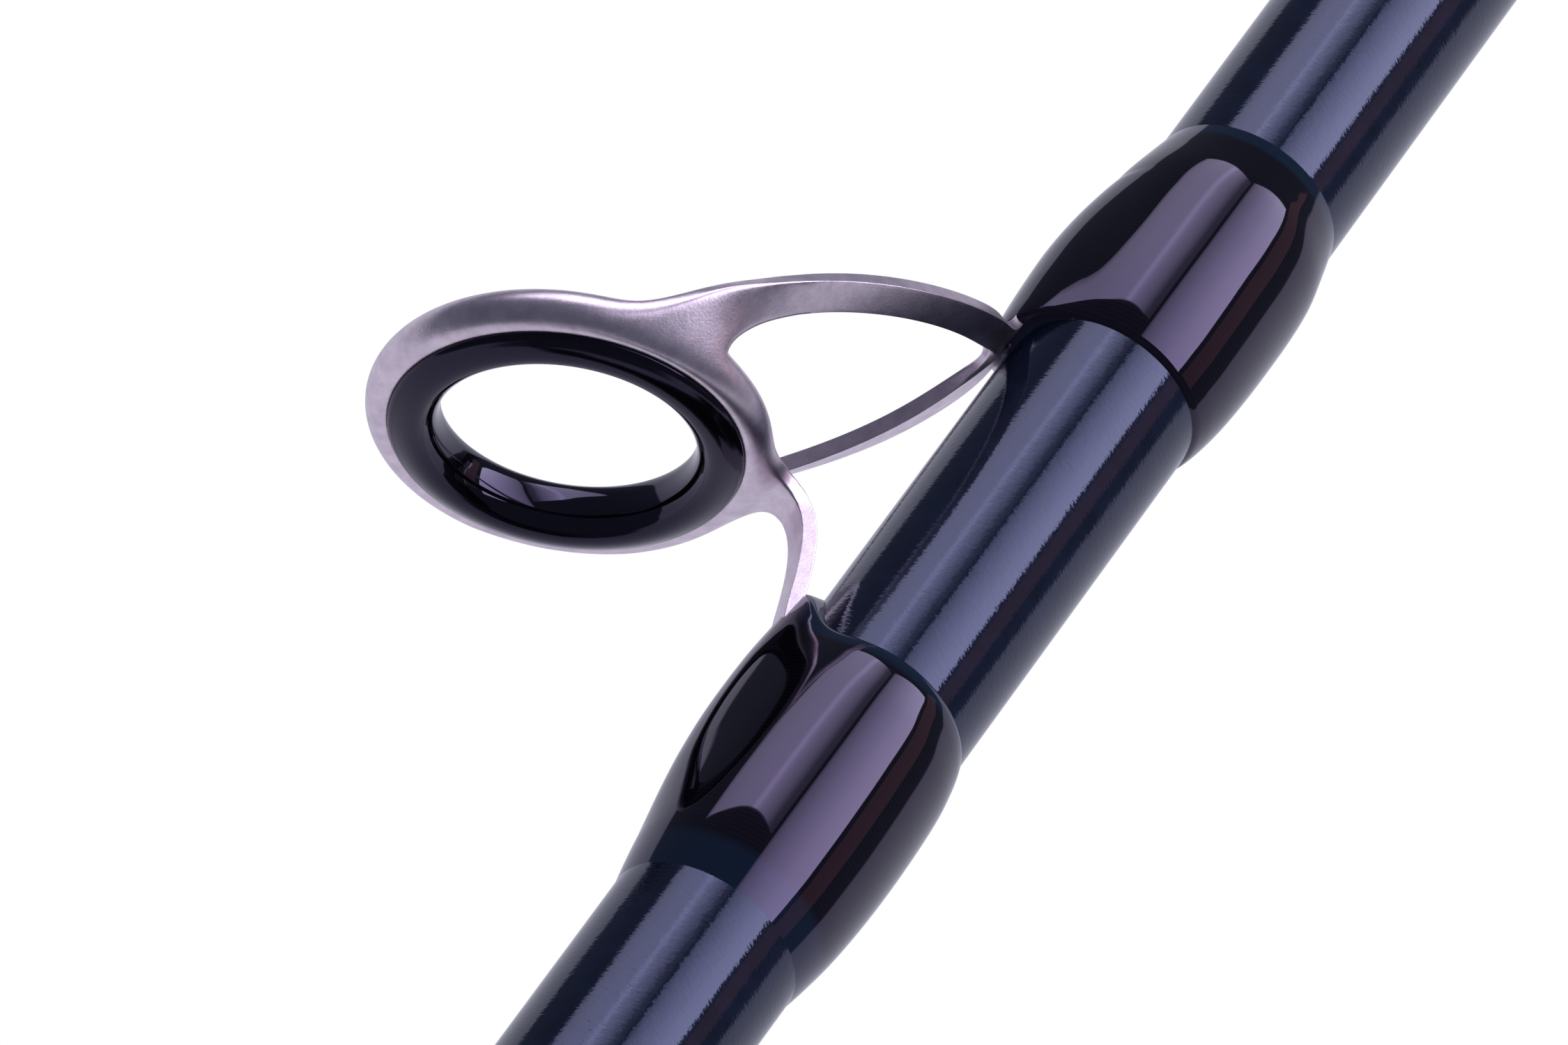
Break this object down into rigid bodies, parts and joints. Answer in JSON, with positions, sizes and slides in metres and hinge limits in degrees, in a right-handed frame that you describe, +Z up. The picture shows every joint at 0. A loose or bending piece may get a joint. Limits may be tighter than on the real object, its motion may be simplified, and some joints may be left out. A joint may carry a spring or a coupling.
{
  "type": "spinning rod",
  "caption": "Slim two-piece spinning rod for a reel hung under the hand, with foam grips, a screw-locked reel seat, three-legged line guides and a small tip ring.",
  "frame": {"origin": "centre of the flat end face of the butt cap, on the rod's axis", "axes": "+X along the rod from the butt to the tip; guides and reel-seat bed face -Y; +Z is up as the rod lies on a table with its guides to one side"},
  "size_m": [1.6751, 0.0486, 0.031],
  "materials": {
    "blank_lacquer": "dark navy gloss lacquer over a carbon-fibre composite tube",
    "wrap_epoxy": "black thread under clear high-gloss epoxy",
    "guide_steel": "satin tumbled gun-metal grey stainless steel",
    "guide_ceramic": "polished black ceramic",
    "eva_foam": "black fine-cell foam grip, matt",
    "seat_nylon": "black glass-filled nylon, satin",
    "hood_steel": "satin stainless steel",
    "check_aluminium": "turned and anodised aluminium, gun-metal grey",
    "butt_rubber": "black moulded rubber, matt",
    "arbor_foam": "tan rigid foam and cork, matt, hidden inside the handle"
  },
  "bodies": {
    "butt_section": {"butt_cap": "butt_rubber", "butt_plug": "arbor_foam", "rear_grip": "eva_foam", "rear_check": "check_aluminium", "reel_seat": "seat_nylon", "seat_arbor_rear": "arbor_foam", "seat_arbor_mid": "arbor_foam", "seat_arbor_front": "arbor_foam", "fixed_hood": "hood_steel", "mid_check": "check_aluminium", "fore_grip": "eva_foam", "fore_check": "check_aluminium", "butt_blank": "blank_lacquer", "fore_wrap": "wrap_epoxy", "hook_keeper": "guide_steel", "keeper_wrap": "wrap_epoxy", "guide_1_frame": "guide_steel", "guide_1_ring": "guide_ceramic", "guide_1_rear_wrap": "wrap_epoxy", "guide_1_front_wrap": "wrap_epoxy"},
    "hood": {"sliding_hood": "hood_steel"},
    "nut": {"locking_nut": "seat_nylon", "nut_ring": "check_aluminium"},
    "tip_section": {"tip_blank": "blank_lacquer", "ferrule_wrap": "wrap_epoxy", "guide_2_frame": "guide_steel", "guide_2_ring": "guide_ceramic", "guide_2_rear_wrap": "wrap_epoxy", "guide_2_front_wrap": "wrap_epoxy", "guide_3_frame": "guide_steel", "guide_3_ring": "guide_ceramic", "guide_3_rear_wrap": "wrap_epoxy", "guide_3_front_wrap": "wrap_epoxy", "guide_4_frame": "guide_steel", "guide_4_ring": "guide_ceramic", "guide_4_rear_wrap": "wrap_epoxy", "guide_4_front_wrap": "wrap_epoxy", "guide_5_frame": "guide_steel", "guide_5_ring": "guide_ceramic", "guide_5_rear_wrap": "wrap_epoxy", "guide_5_front_wrap": "wrap_epoxy", "guide_6_frame": "guide_steel", "guide_6_ring": "guide_ceramic", "guide_6_rear_wrap": "wrap_epoxy", "guide_6_front_wrap": "wrap_epoxy", "tip_top_frame": "guide_steel", "tip_top_ring": "guide_ceramic", "tip_top_wrap": "wrap_epoxy"}
  },
  "joints": [
    {"name": "hood_slide", "type": "slide", "parent": "butt_section", "child": "hood", "axis": [1, 0, 0], "range_m": [0, 0.014]},
    {"name": "nut_turn", "type": "hinge", "parent": "hood", "child": "nut", "pos_m": [0.31, 0, 0], "axis": [1, 0, 0], "range_deg": [0, 2520]},
    {"name": "ferrule_slide", "type": "slide", "parent": "butt_section", "child": "tip_section", "axis": [1, 0, 0], "range_m": [0, 0.08]}
  ],
  "couplings": [
    {"joint": "nut_turn", "follows": "hood_slide", "rad_per_m": 3141.6}
  ]
}
